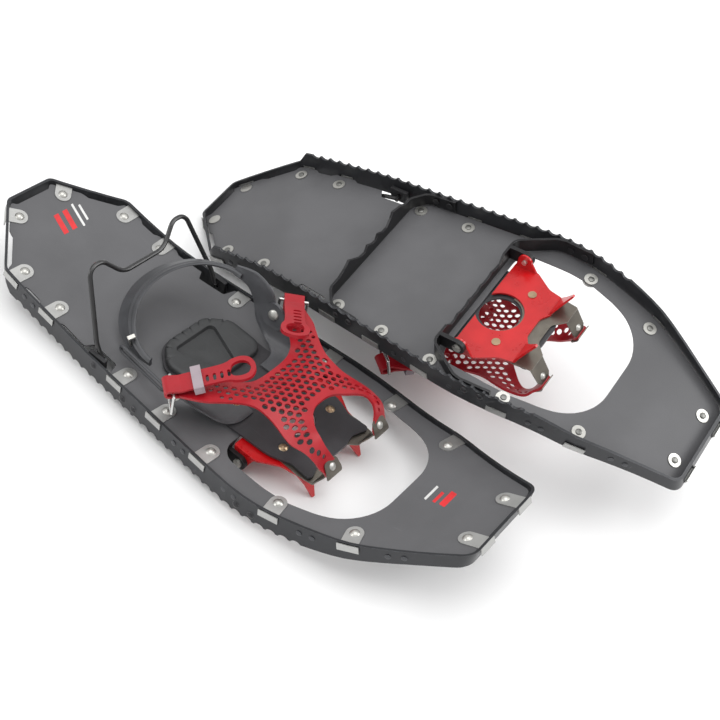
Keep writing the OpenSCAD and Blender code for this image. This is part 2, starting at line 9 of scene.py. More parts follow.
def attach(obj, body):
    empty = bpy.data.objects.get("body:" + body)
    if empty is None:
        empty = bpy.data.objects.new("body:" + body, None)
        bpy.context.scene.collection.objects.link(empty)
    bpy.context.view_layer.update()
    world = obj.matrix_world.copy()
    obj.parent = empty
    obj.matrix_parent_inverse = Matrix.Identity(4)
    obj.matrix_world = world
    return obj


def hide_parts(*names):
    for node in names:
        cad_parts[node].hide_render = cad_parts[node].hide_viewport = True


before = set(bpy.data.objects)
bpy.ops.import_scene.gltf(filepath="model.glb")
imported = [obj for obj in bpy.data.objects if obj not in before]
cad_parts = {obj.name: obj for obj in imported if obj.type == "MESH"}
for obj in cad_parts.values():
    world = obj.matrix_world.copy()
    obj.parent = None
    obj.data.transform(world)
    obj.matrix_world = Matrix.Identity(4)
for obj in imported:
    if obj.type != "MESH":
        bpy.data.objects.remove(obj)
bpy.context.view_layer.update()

MM = 0.001
SIDES = ("left", "right")

# Where each shoe's own frame (X to its side, Y to its toe, Z up from the deck) lies.
LEFT_PLACE = np.array([95.4, -4.6, 26.05])
RIGHT_PLACE = np.array([-97.1, 75.6, 99.8])


def turned(x, y, z):
    """Rotation matrix that turns about X, then Y, then Z, in degrees."""
    x, y, z = np.radians([x, y, z])
    about_x = np.array([[1, 0, 0], [0, np.cos(x), -np.sin(x)], [0, np.sin(x), np.cos(x)]])
    about_y = np.array([[np.cos(y), 0, np.sin(y)], [0, 1, 0], [-np.sin(y), 0, np.cos(y)]])
    about_z = np.array([[np.cos(z), -np.sin(z), 0], [np.sin(z), np.cos(z), 0], [0, 0, 1]])
    return about_z @ about_y @ about_x


RIGHT_TURN = turned(169.9, -14.3, -175.2)


def placed(points, side):
    """Shoe-frame points in mm as world points in metres; the right shoe is the mirror image of the
    left one, turned over."""
    points = np.asarray(points, float)
    if side == "left":
        return (points + LEFT_PLACE) * MM
    return ((points * [-1, 1, 1]) @ RIGHT_TURN.T + RIGHT_PLACE) * MM


# ---------------------------------------------------------------- camera, light and floor


def add_camera():
    """The camera, by its place and the directions of its view: right, down and ahead."""
    data = bpy.data.cameras.new("camera")
    data.lens = 59.32
    data.sensor_width = 36
    data.clip_start = 0.05
    data.clip_end = 20
    camera = bpy.data.objects.new("camera", data)
    right, down, ahead = (
        Vector((-0.60245, 0.76990, 0.21047)),
        Vector((0.47983, 0.56009, -0.67532)),
        Vector((-0.63782, -0.30586, -0.70685)),
    )
    turn = Matrix((right, -down, -ahead)).transposed().to_4x4()
    camera.matrix_world = Matrix.Translation((0.7253, 0.3709, 0.84535)) @ turn
    bpy.context.scene.collection.objects.link(camera)
    bpy.context.scene.camera = camera


def add_light(name, place, aim, size, watts):
    """Area light of the given width and height in metres, turned towards aim."""
    data = bpy.data.lights.new(name, "AREA")
    data.shape = "RECTANGLE"
    data.size, data.size_y = size
    data.energy = watts
    light = bpy.data.objects.new(name, data)
    light.location = place
    light.rotation_euler = (Vector(aim) - Vector(place)).to_track_quat("-Z", "Y").to_euler()
    bpy.context.scene.collection.objects.link(light)


def add_studio():
    """A pale floor that runs past the view on every side, big soft lights and a pale surround."""
    floor = bpy.data.meshes.new("floor")
    floor.from_pydata([(-6, -6, 0), (6, -6, 0), (6, 6, 0), (-6, 6, 0)], [], [(0, 1, 2, 3)])
    floor_object = bpy.data.objects.new("floor", floor)
    bpy.context.scene.collection.objects.link(floor_object)
    shader, paper = new_material("floor_paper")
    shader.inputs["Base Color"].default_value = (0.93, 0.93, 0.93, 1)
    shader.inputs["Roughness"].default_value = 0.9
    floor.materials.append(paper)
    world = bpy.data.worlds.new("studio")
    world.use_nodes = True
    world.node_tree.nodes["Background"].inputs["Color"].default_value = (1, 1, 1, 1)
    world.node_tree.nodes["Background"].inputs["Strength"].default_value = 0.8
    bpy.context.scene.world = world
    bpy.context.scene.view_settings.view_transform = "Standard"
    add_light("top_light", (0.1, -0.1, 1.9), (0, 0, 0), (1.7, 1.7), 18)
    add_light("key_light", (-0.9, 1.3, 1.3), (0, 0, 0.05), (1.0, 1.0), 13)
    add_light("side_light", (1.4, -1.0, 0.9), (0, 0, 0.05), (0.8, 0.8), 6)


# ---------------------------------------------------------------- materials


def linear(value):
    """A colour given as 0 to 255 screen values, as linear light."""
    c = np.asarray(value, float) / 255
    return tuple(np.where(c <= 0.04045, c / 12.92, ((c + 0.055) / 1.055) ** 2.4)) + (1.0,)


def new_material(name):
    """A node material's shader, and the material itself."""
    material = bpy.data.materials.new(name)
    material.use_nodes = True
    return material.node_tree.nodes["Principled BSDF"], material


def new_group(name, inputs, outputs):
    """An empty node group with number inputs, their first values and number outputs; also its
    ends."""
    tree = bpy.data.node_groups.new(name, "ShaderNodeTree")
    for label, value in inputs.items():
        socket = tree.interface.new_socket(label, in_out="INPUT", socket_type="NodeSocketFloat")
        socket.default_value = value
    for label in outputs:
        tree.interface.new_socket(label, in_out="OUTPUT", socket_type="NodeSocketFloat")
    return tree, tree.nodes.new("NodeGroupInput"), tree.nodes.new("NodeGroupOutput")


def feed(tree, socket, value):
    """Sets a number or colour on a socket, or links another node's output to it."""
    if isinstance(value, (int, float, tuple)):
        socket.default_value = value
    else:
        tree.links.new(value, socket)


def math_node(tree, operation, *values, clamp=False):
    """Output of a Math node fed with the given values."""
    node = tree.nodes.new("ShaderNodeMath")
    node.operation = operation
    node.use_clamp = clamp
    for socket, value in zip(node.inputs, values):
        feed(tree, socket, value)
    return node.outputs[0]


def mix_colour(tree, factor, a, b):
    """Colour that goes from a to b as the factor goes from 0 to 1."""
    node = tree.nodes.new("ShaderNodeMix")
    node.data_type = "RGBA"
    for socket, value in ((node.inputs[0], factor), (node.inputs[6], a), (node.inputs[7], b)):
        feed(tree, socket, value)
    return node.outputs[2]


def noise_node(tree, vector, scale, detail):
    """Noise from 0 to 1 at the given places."""
    node = tree.nodes.new("ShaderNodeTexNoise")
    node.inputs["Detail"].default_value = detail
    tree.links.new(vector, node.inputs["Vector"])
    feed(tree, node.inputs["Scale"], scale)
    return node.outputs["Fac"]


def ramp_node(tree, value, low, high):
    """Smooth step from 0 at low to 1 at high."""
    node = tree.nodes.new("ShaderNodeMapRange")
    node.interpolation_type = "SMOOTHSTEP"
    node.inputs["From Min"].default_value = low
    node.inputs["From Max"].default_value = high
    tree.links.new(value, node.inputs["Value"])
    return node.outputs["Result"]


def piece_place(tree):
    """Object coordinates, which keep a pattern still on its piece."""
    return tree.nodes.new("ShaderNodeTexCoord").outputs["Object"]


def build_grain_group():
    """Fine grain and broad clouds: two noises of different scales."""
    sizes = {"Coarse Scale": 60.0, "Fine Scale": 900.0}
    tree, given, out = new_group("fine_grain", sizes, ("Grain", "Cloud"))
    place = piece_place(tree)
    for label, source in (("Grain", "Fine Scale"), ("Cloud", "Coarse Scale")):
        tree.links.new(noise_node(tree, place, given.outputs[source], 4), out.inputs[label])


def build_wear_group():
    """Edge wear: how far a bevelled normal leans from the plain one, broken up by noise."""
    tree, given, out = new_group("edge_wear", {"Amount": 0.5}, ("Wear",))
    bevel = tree.nodes.new("ShaderNodeBevel")
    bevel.samples = 4
    bevel.inputs["Radius"].default_value = 0.0007
    plain = tree.nodes.new("ShaderNodeNewGeometry")
    dot = tree.nodes.new("ShaderNodeVectorMath")
    dot.operation = "DOT_PRODUCT"
    tree.links.new(bevel.outputs["Normal"], dot.inputs[0])
    tree.links.new(plain.outputs["Normal"], dot.inputs[1])
    lean = math_node(tree, "SUBTRACT", 1.0, dot.outputs["Value"])
    patches = ramp_node(tree, noise_node(tree, piece_place(tree), 140, 5), 0.35, 0.65)
    worn = math_node(tree, "MULTIPLY", ramp_node(tree, lean, 0.015, 0.16), patches)
    wear = math_node(tree, "MULTIPLY", worn, given.outputs["Amount"], clamp=True)
    tree.links.new(wear, out.inputs["Wear"])


def build_scuff_group():
    """Scuffs: stretched noise turned two ways, kept only where it peaks."""
    tree, given, out = new_group("light_scuffs", {"Amount": 0.5}, ("Scuff",))
    place = piece_place(tree)
    lines = []
    for turn, stretch in ((0.5, 900.0), (-0.9, 700.0)):
        mapping = tree.nodes.new("ShaderNodeMapping")
        mapping.inputs["Rotation"].default_value = (0.2, 0.1, turn)
        mapping.inputs["Scale"].default_value = (stretch, 22.0, 60.0)
        tree.links.new(place, mapping.inputs["Vector"])
        streaks = noise_node(tree, mapping.outputs["Vector"], 1.0, 2)
        lines.append(ramp_node(tree, streaks, 0.68, 0.78))
    gate = ramp_node(tree, noise_node(tree, place, 16, 2), 0.45, 0.7)
    gated = math_node(tree, "MULTIPLY", math_node(tree, "MAXIMUM", *lines), gate)
    scuff = math_node(tree, "MULTIPLY", gated, given.outputs["Amount"], clamp=True)
    tree.links.new(scuff, out.inputs["Scuff"])


def group_node(tree, name, **values):
    """A shared effect placed in a material with its own values."""
    node = tree.nodes.new("ShaderNodeGroup")
    node.node_tree = bpy.data.node_groups[name]
    for label, value in values.items():
        node.inputs[label.replace("_", " ")].default_value = value
    return node


COAT_ROUGHNESS = 0.12
ROUGH_SPREAD = 0.22  # how much the clouds change the roughness
GRAIN_DEPTH = 0.0003


def finish_material(name, base, worn, roughness, metallic=0.0, wear=0.6, grain=0.25, scuff=0.3,
                    fine=900.0, coarse=60.0, mottle=0.12, specular=0.5, coat=0.0):
    """One maker's finish: base colour clouded and grained, worn at the edges and scuffed."""
    shader, material = new_material(name)
    tree = material.node_tree
    shader.inputs["Metallic"].default_value = metallic
    shader.inputs["Specular IOR Level"].default_value = specular
    shader.inputs["Coat Weight"].default_value = coat
    shader.inputs["Coat Roughness"].default_value = COAT_ROUGHNESS
    grains = group_node(tree, "fine_grain", Coarse_Scale=coarse, Fine_Scale=fine)
    edges = group_node(tree, "edge_wear", Amount=wear)
    scuffs = group_node(tree, "light_scuffs", Amount=scuff)
    plain, cloud = linear(base)[:3], grains.outputs["Cloud"]
    low, high = (tuple(min(1.0, c * k) for c in plain) + (1.0,) for k in (1 - mottle, 1 + mottle))
    clouded = mix_colour(tree, ramp_node(tree, cloud, 0.3, 0.7), low, high)
    marks = math_node(tree, "MAXIMUM", edges.outputs["Wear"], scuffs.outputs["Scuff"])
    tree.links.new(mix_colour(tree, marks, clouded, linear(worn)), shader.inputs["Base Color"])
    lowest = roughness - ROUGH_SPREAD / 2
    rough = math_node(tree, "MULTIPLY_ADD", cloud, ROUGH_SPREAD, lowest)
    tree.links.new(rough, shader.inputs["Roughness"])
    bump = tree.nodes.new("ShaderNodeBump")
    bump.inputs["Strength"].default_value = grain
    bump.inputs["Distance"].default_value = GRAIN_DEPTH
    tree.links.new(grains.outputs["Grain"], bump.inputs["Height"])
    tree.links.new(bump.outputs["Normal"], shader.inputs["Normal"])
    return material


# Each finish: its name, base colour, worn colour, roughness, and what differs from the usual.
FINISHES = {
    "blade": ("anodised_blade", (44, 45, 48), (110, 112, 116), 0.38,
              dict(metallic=0.35, wear=0.55, grain=0.12, scuff=0.35)),
    "cross": ("anodised_cross", (30, 30, 32), (120, 120, 122), 0.36,
              dict(metallic=0.35, wear=0.6, grain=0.12)),
    "deck": ("coated_deck", (90, 90, 92), (130, 130, 132), 0.48,
             dict(wear=0.2, grain=0.3, scuff=0.14, mottle=0.1, coarse=13.0, specular=0.35)),
    "clip": ("stainless_clip", (176, 176, 174), (226, 226, 224), 0.4,
             dict(metallic=0.8, wear=0.3, grain=0.15, mottle=0.06)),
    "rivet": ("rivet_steel", (186, 185, 180), (232, 232, 228), 0.34,
              dict(metallic=0.85, wear=0.3, grain=0.1, mottle=0.06)),
    "rivet_end": ("peened_steel", (120, 120, 117), (200, 200, 196), 0.36, dict(metallic=0.85)),
    "mark": ("dark_blade_rivet", (66, 67, 70), (140, 141, 144), 0.3, dict(metallic=0.6)),
    "dark_rivet": ("dark_rivet", (52, 52, 54), (130, 130, 130), 0.36, dict(metallic=0.6)),
    "lug": ("black_lug", (26, 26, 28), (90, 90, 92), 0.42, dict(metallic=0.3)),
    "pin": ("pin_steel", (196, 194, 188), (230, 230, 228), 0.3, dict(metallic=0.9)),
    "crampon": ("red_steel", (186, 8, 15), (140, 90, 84), 0.3,
                dict(wear=0.18, grain=0.08, scuff=0.06, mottle=0.08, coat=0.3)),
    "plate": ("stainless_plate", (112, 107, 99), (190, 186, 178), 0.36,
              dict(metallic=0.85, wear=0.4, grain=0.15)),
    "base": ("harness_rubber", (50, 49, 52), (92, 92, 95), 0.5,
             dict(wear=0.25, grain=0.35, scuff=0.15, fine=1400)),
    "bronze": ("bronze_rivet", (168, 146, 118), (216, 204, 184), 0.3, dict(metallic=0.95)),
    "pad": ("pad_rubber", (50, 51, 52), (80, 80, 82), 0.56, dict(wear=0.3, grain=0.5, fine=1100)),
    "wing": ("wing_rubber", (78, 79, 82), (112, 112, 115), 0.42,
             dict(wear=0.2, grain=0.3, fine=1300)),
    "strap": ("red_strap", (160, 10, 26), (205, 56, 64), 0.4,
              dict(wear=0.25, grain=0.25, scuff=0.08, mottle=0.06)),
    "pull": ("red_pull_strap", (158, 8, 26), (205, 52, 62), 0.4,
             dict(wear=0.25, grain=0.3, scuff=0.08, mottle=0.06)),
    "print_red": ("red_print", (205, 40, 44), (225, 110, 110), 0.5, dict(wear=0.1, grain=0.2)),
    "print_pale": ("pale_print", (214, 214, 212), (190, 190, 190), 0.5, dict(wear=0.1, grain=0.2)),
    "wire": ("wire_steel", (200, 200, 198), (236, 236, 234), 0.24, dict(metallic=0.95, grain=0.06)),
    "keeper": ("clear_keeper", (150, 138, 144), (184, 178, 182), 0.26, dict(wear=0.2, grain=0.1)),
    "heel": ("heel_rubber", (60, 61, 64), (96, 96, 98), 0.42, dict(wear=0.3, grain=0.3)),
    "bail": ("black_wire", (26, 26, 27), (70, 70, 72), 0.3, dict(wear=0.2, grain=0.08, coat=0.3)),
    "block": ("black_plastic", (30, 30, 32), (72, 72, 74), 0.5, dict(wear=0.3, grain=0.4)),
}

# The finish of each carried-over node.
NODE_FINISH = {
    "frame_blade": "blade", "deck": "deck", "deck_clips": "clip", "deck_rivets": "rivet",
    "rear_cross_member": "cross", "front_cross_member": "cross",
    "cross_member_rivets": "dark_rivet", "hinge_lugs": "lug", "hinge_pins": "pin",
    "crampon": "crampon", "front_plate": "plate", "harness_base": "base", "base_rivets": "bronze",
    "heel_pad": "pad", "side_wings": "wing", "toe_strap": "strap", "tab_rivets": "rivet",
    "outer_buckle": "wire", "inner_buckle": "wire", "strap_keeper": "keeper", "heel_strap": "heel",
    "heel_strap_link": "heel", "heel_strap_pin": "pin", "heel_lift_wire": "bail",
    "lift_pivot_blocks": "block", "lift_rivets": "dark_rivet",
}


def build_materials():
    """Every finish of the table, after the shared effects."""
    build_grain_group()
    build_wear_group()
    build_scuff_group()
    return {key: finish_material(*row[:-1], **row[-1]) for key, row in FINISHES.items()}


def dress_nodes(made):
    """Each carried-over node gets its finish on both shoes."""
    for suffix, key in NODE_FINISH.items():
        for side in SIDES:
            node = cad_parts[f"{side}_{suffix}"]
            node.data.materials.clear()
            node.data.materials.append(made[key])


# ---------------------------------------------------------------- flat patterns and surfaces

DECK_HALF = 0.7  # half the deck's thickness
RIVET_INSET = 16.0  # from the frame line in to the rail rivets
STATION_Y = (-260, -210, -112, -58, 0, 82, 155)  # clips on each rail, from tail to toe
TOE_RIVET = (29, 229)
ROW_STEP = 0.866  # from row to row of a staggered grid, as a part of its pitch
# Half of the frame line, from tail to toe: corners (x, y, corner radius).
FRAME_HALF = [(27, -328, 10), (80, -270, 14), (82, -200, 400), (104, 55, 260), (86, 155, 130),
              (50, 245, 14)]


def mirrored(half):
    """A half list of corners (x, y, radius) closed by its mirror image in x."""
    return half + [(-x, y, r) for x, y, r in reversed(half)]


def corner_loop(corners):
    """Closed line through corners (x, y, radius), each cut to an arc that meets both its edges."""
    line = []
    for k, (x, y, r) in enumerate(corners):
        here = np.array([x, y], float)
        back = np.array(corners[k - 1][:2], float) - here
        on = np.array(corners[(k + 1) % len(corners)][:2], float) - here
        back, on = back / np.linalg.norm(back), on / np.linalg.norm(on)
        half = math.acos(np.clip(back @ on, -1, 1)) / 2
        middle = here + (back + on) / np.linalg.norm(back + on) * r / math.sin(half)
        a, b = here + back * r / math.tan(half) - middle, here + on * r / math.tan(half) - middle
        sweep = math.atan2(a[0] * b[1] - a[1] * b[0], a @ b)
        t = np.linspace(0, sweep, max(3, math.ceil(abs(sweep) / 0.12)))[:, None]
        line.append(middle + a * np.cos(t) + np.array([-a[1], a[0]]) * np.sin(t))
    return np.concatenate(line)


def even_steps(loop, step):
    """The same closed line with points a nearly equal step apart."""
    closed = np.vstack([loop, loop[:1]])
    run = np.r_[0, np.cumsum(np.linalg.norm(np.diff(closed, axis=0), axis=1))]
    at = np.linspace(0, run[-1], max(8, round(run[-1] / step)), endpoint=False)
    return np.column_stack([np.interp(at, run, closed[:, i]) for i in range(closed.shape[1])])


def smooth_line(points, steps=6, closed=True):
    """Cubic line through the points: each span leaves along the line between its neighbours."""
    p = np.asarray(points, float)
    span = np.arange(len(p) if closed else len(p) - 1)
    ends = [(span + k) % len(p) if closed else np.clip(span + k, 0, len(p) - 1) for k in (-1, 0, 1,
                                                                                          2)]
    a, b, c, d = (p[i][:, None] for i in ends)
    t = np.linspace(0, 1, steps, endpoint=False)[None, :, None]
    square, cube = 2 * a - 5 * b + 4 * c - d, 3 * b - a - 3 * c + d
    line = 0.5 * (2 * b + (c - a) * t + square * t**2 + cube * t**3)
    line = line.reshape(-1, p.shape[1])
    return line if closed else np.vstack([line, p[-1:]])


def inside(points, loop):
    """True for points with an odd number of loop edges to their right."""
    x, y = points[:, 0:1], points[:, 1:2]
    a, b = loop, np.roll(loop, -1, axis=0)
    crosses = (a[:, 1] > y) != (b[:, 1] > y)
    rise_y = np.where(b[:, 1] == a[:, 1], 1.0, b[:, 1] - a[:, 1])
    meets_x = (b[:, 0] - a[:, 0]) * (y - a[:, 1]) / rise_y + a[:, 0]
    return (crosses & (x < meets_x)).sum(axis=1) % 2 == 1


def edge_gap(points, loop):
    """Distance from each point to the nearest edge of the loop."""
    a, b = loop, np.roll(loop, -1, axis=0)
    way = b - a
    t = ((points[:, None] - a) * way).sum(2) / np.maximum((way**2).sum(1), 1e-9)
    near = a + np.clip(t, 0, 1)[..., None] * way
    return np.linalg.norm(points[:, None] - near, axis=2).min(axis=1)


def circle_line(x, y, radius, sides=12):
    """Points evenly round a circle, the first one at 30 degrees."""
    turn = np.arange(sides) * 2 * np.pi / sides + np.pi / 6
    return np.column_stack([x + radius * np.cos(turn), y + radius * np.sin(turn)])


def staggered(low, high, pitch):
    """Points of a staggered grid: every second row moves over by half a pitch."""
    rows = np.arange(low[1], high[1], pitch * ROW_STEP)
    columns = np.arange(low[0], high[0] + pitch, pitch)
    x, y = np.meshgrid(columns, rows)
    x = x + (np.arange(len(rows)) % 2)[:, None] * pitch / 2
    return np.column_stack([x.ravel(), y.ravel()])


def cut_pattern(outline, holes, pitch):
    """A flat pattern in triangles: outline and hole edges stay as cuts, and a staggered grid fills
    the rest."""
    grid = staggered(outline.min(axis=0), outline.max(axis=0), pitch)
    grid = grid[inside(grid, outline)]
    grid = grid[edge_gap(grid, outline) > pitch * 0.5]
    loops = [outline] + list(holes)
    for hole in holes:
        clear = np.linalg.norm(grid[:, None] - hole[None], axis=2).min(axis=1) > pitch * 0.4
        grid = grid[clear & ~inside(grid, hole)]
    cuts, start = [], 0
    for loop in loops:
        cuts += [(start + k, start + (k + 1) % len(loop)) for k in range(len(loop))]
        start += len(loop)
    every = np.vstack(loops + [grid])
    verts, _, faces, *_ = delaunay_2d_cdt([Vector(p) for p in every.tolist()], cuts, [], 0, 1e-5)
    verts = np.array([tuple(v) for v in verts])
    faces = np.array(faces)
    middle = verts[faces].mean(axis=1)
    keep = inside(middle, outline)
    for hole in holes:
        keep &= ~inside(middle, hole)
    return verts, faces[keep]


def make_piece(name, points, faces, side, body, material, slot, replaces=(), sharp=35):
    """A mesh piece from shoe-frame points; on the mirrored shoe each face is turned round, so that
    it still points outwards."""
    mesh = bpy.data.meshes.new(f"{side}_{name}")
    rows = [tuple(f) for f in faces]
    if side == "right":
        rows = [f[::-1] for f in rows]
    mesh.from_pydata(placed(points, side).tolist(), [], rows)
    mesh.polygons.foreach_set("use_smooth", [True] * len(mesh.polygons))
    mesh.set_sharp_from_angle(angle=math.radians(sharp))
    mesh.materials.append(material)
    piece = bpy.data.objects.new(f"{side}_{name}", mesh)
    bpy.context.scene.collection.objects.link(piece)
    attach(piece, f"{side}_{body}")
    if replaces:
        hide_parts(*[f"{side}_{node}" for node in replaces])
    return piece


def thick_sheet(flat, faces, shape, thickness):
    """Two skins half a thickness to each side of shape(u, v) along its normal, joined by a wall at
    every edge."""
    step = 0.02
    place = shape(flat)
    normal = np.cross(shape(flat + [step, 0]) - place, shape(flat + [0, step]) - place)
    normal /= np.linalg.norm(normal, axis=1)[:, None]
    half = np.broadcast_to(np.asarray(thickness, float) / 2, len(flat))[:, None]
    turn = (flat[faces[:, 1]] - flat[faces[:, 0]], flat[faces[:, 2]] - flat[faces[:, 0]])
    wrong = turn[0][:, 0] * turn[1][:, 1] < turn[0][:, 1] * turn[1][:, 0]
    faces = np.where(wrong[:, None], faces[:, ::-1], faces)
    sides = np.concatenate([faces[:, [0, 1]], faces[:, [1, 2]], faces[:, [2, 0]]])
    pairs = np.sort(sides, axis=1)
    _, index, count = np.unique(pairs, axis=0, return_inverse=True, return_counts=True)
    rim = sides[count[index.ravel()] == 1]
    n = len(flat)
    walls = np.column_stack([rim[:, 1], rim[:, 0], rim[:, 0] + n, rim[:, 1] + n])
    points = np.vstack([place + normal * half, place - normal * half])
    return points, faces.tolist() + (faces[:, ::-1] + n).tolist() + walls.tolist()


def ring_faces(rings, sides, closed=False, turned_round=False):
    """Quads between neighbouring rings of points, and a cap on each end unless the rings close."""
    i, k = np.meshgrid(np.arange(rings if closed else rings - 1), np.arange(sides), indexing="ij")
    j, m = (i + 1) % rings, (k + 1) % sides
    corners = [i * sides + k, j * sides + k, j * sides + m, i * sides + m]
    first, last = list(range(sides)), list(range((rings - 1) * sides, rings * sides))
    caps = [first, last[::-1]]
    if turned_round:
        corners = corners[:1] + corners[:0:-1]
        caps = [first[::-1], last]
    return np.stack(corners, axis=-1).reshape(-1, 4).tolist() + ([] if closed else caps)


def joined(parts):
    """Several meshes as one: each part's faces count on from the points before it."""
    points, faces, start = [], [], 0
    for part, rows in parts:
        faces += [[v + start for v in row] for row in rows]
        points.append(part)
        start += len(part)
    return np.vstack(points), faces


def carried(path, across, up, profile, closed=False):
    """Profile points (a, b) carried along a path, in rings: path + a times across + b times up."""
    points = path[:, None] + profile[..., 0:1] * across[:, None] + profile[..., 1:2] * up[:, None]
    return points.reshape(-1, 3), ring_faces(*points.shape[:2], closed)


def dome(centre, axis, radius, height, steps=28):
    """Domed rivet head: a flat skirt, then circles that shrink and rise as cosine and sine, about
    the given axis."""
    axis = np.asarray(axis, float) / np.linalg.norm(axis)
    side = np.cross(axis, [0.3, 0.9, 0.2])
    side /= np.linalg.norm(side)
    other = np.cross(axis, side)
    climb = np.linspace(0, np.pi / 2 * 0.97, 7)
    radii = np.r_[radius * 0.9, radius, radius * np.cos(climb)]
    heights = np.r_[0, 0.1, 0.5 + height * np.sin(climb)]
    turn = np.arange(steps) * 2 * np.pi / steps
    ring = np.cos(turn)[:, None] * side + np.sin(turn)[:, None] * other
    points = np.asarray(centre) + radii[:, None, None] * ring + heights[:, None, None] * axis
    return points.reshape(-1, 3), ring_faces(len(radii), steps, turned_round=True)


def plate_spline(controls):
    """Thin plate spline: a plane plus r squared log r about each control, weighted so that each
    lands close to its place; the give keeps the surface smooth."""
    give = 4
    controls = np.asarray(controls, float)
    flat, target = controls[:, :2], controls[:, 2:]
    n = len(flat)

    def waves(q):
        r2 = ((q[:, None] - flat) ** 2).sum(axis=2)
        return 0.5 * r2 * np.log(r2 + 1e-9)

    plane = np.column_stack([np.ones(n), flat])
    system = np.zeros((n + 3, n + 3))
    system[:n, :n] = waves(flat) + np.eye(n) * give
    system[:n, n:], system[n:, :n] = plane, plane.T
    weights = np.linalg.solve(system, np.vstack([target, np.zeros((3, 3))]))
    return lambda q: waves(q) @ weights[:n] + np.column_stack([np.ones(len(q)), q]) @ weights[n:]


# ---------------------------------------------------------------- straps


def strap_controls():
    """Where points (u, v) of the flat toe strap lie on the shoe, as (u, v, x, y, z); the other half
    has u and x turned round."""
    middle = [(0, 49, 0, 49, 47), (0, 20, 0, 20, 45), (0, -9, 0, -9, 38)]
    half = [
        (23, 60, 23, 60, 47.5), (25, 20, 25, 20, 46), (25, -10, 25, -9, 40), (50, 11, 50, 11, 46),
        (48, 38, 48, 38, 40.5), (50, 60, 50, 59, 38.5), (34, 75, 35, 74, 49), (53, 75, 51, 74, 38),
        (31.5, 90, 34, 86, 40.5), (50, 90, 49, 85.5, 34), (27, 100, 29, 91, 31.5),
        (46, 100, 46, 90, 28.5),
        (26, 106, 26.5, 94.2, 26), (44.5, 106, 44, 94.2, 25), (26, 112.5, 26, 98, 20.7),
        (43, 112.5, 43, 98, 20.5),
        (64, -8, 64, -8, 44), (84, -40, 84, -40.5, 39), (34, -14, 34, -13, 42),
        (50, -32, 50, -31, 41),
        (72, -56, 72, -55.5, 38),
    ]
    return middle + half + [(-u, v, -x, y, z) for u, v, x, y, z in half]


def toe_strap_pattern():
    """The X-shaped strap laid flat: a waisted body, two front arms, two rear arms, and round holes
    in rows."""
    half = [
        (8, 49.8), (16, 53), (23, 59.5), (29, 67), (32.5, 75), (33, 84), (31, 91), (28.4, 98),
        (26.4, 104),
        (25.8, 108), (26.5, 111.5), (29, 112.5), (40, 112.5), (43.5, 111), (45, 106), (46.8, 100),
        (49, 92),
        (51, 84), (52, 74), (52, 62), (49.8, 50), (47.3, 37), (47, 25), (48.8, 14), (55, 3),
        (65, -9.5),
        (74, -20), (80, -31), (84.4, -40), (83.6, -42.2), (74, -54), (71.6, -55.6), (61, -45),
        (50.5, -33.5),
        (42, -23.5), (34, -15.5), (24, -10.5), (12, -8.4),
    ]
    outline = smooth_line([(0, 49.3)] + half + [(0, -8)] + [(-u, v) for u, v in reversed(half)], 3)
    centres = staggered((-76.0, -40.0), (76.0, 108.0), 7.6)
    centres = centres[inside(centres, outline)]
    radius = 2.75 - 0.05 * np.clip(np.abs(centres[:, 0]) - 46, 0, 20)
    radius -= 0.05 * np.clip(centres[:, 1] - 82, 0, 20)
    keep = edge_gap(centres, outline) > radius + 2.4
    keep &= (np.abs(centres[:, 0]) < 64) & (centres[:, 1] < 98)
    holes = [circle_line(u, v, r) for (u, v), r in zip(centres[keep], radius[keep])]
    return outline, cut_pattern(outline, holes, 5.0)


# Pull strap: both ends of its long upper run, the length of its lower run, how far the fold
# reaches past the buckle end, the fold's radius and the height of the upper run's crown.
PULL_LOW = np.array([78.0, -48.0, 45.0])
PULL_HIGH = np.array([28.0, -9.0, 65.0])
PULL_LOWER, PULL_REACH, PULL_BEND, PULL_CROWN = 12.0, 9.6, 3.4, 0.7
PULL_RUN = float(np.linalg.norm(PULL_HIGH - PULL_LOW))


def pull_strap_shape(flat, sign):
    """Strap looped through the buckle: a straight out, a half turn, and the long straight back up
    with a sine crown."""
    s, t = flat[:, 0], flat[:, 1]
    way = PULL_HIGH - PULL_LOW
    level = np.array([way[0], way[1], 0]) / np.hypot(way[0], way[1])
    side = np.array([-level[1], level[0], 0])
    radius, lower, reach = PULL_BEND, PULL_LOWER, PULL_REACH
    bend = np.clip((s - lower) / radius, 0, np.pi)
    back = np.clip(s - lower - np.pi * radius, 0, reach)
    out = np.where(s < lower, lower - s, -radius * np.sin(bend)) - reach + back
    height = PULL_LOW[2] - radius - radius * np.cos(bend)
    straight = np.clip(s - lower - np.pi * radius - reach, 0, None)[:, None]
    crown = PULL_CROWN * np.sin(np.clip(straight / PULL_RUN, 0, 1) * np.pi)
    base = PULL_LOW * [1, 1, 0] + out[:, None] * level + height[:, None] * [0, 0, 1]
    place = base + straight * way / PULL_RUN + crown * [0, 0, 1] + t[:, None] * side
    return place * [sign, 1, 1]


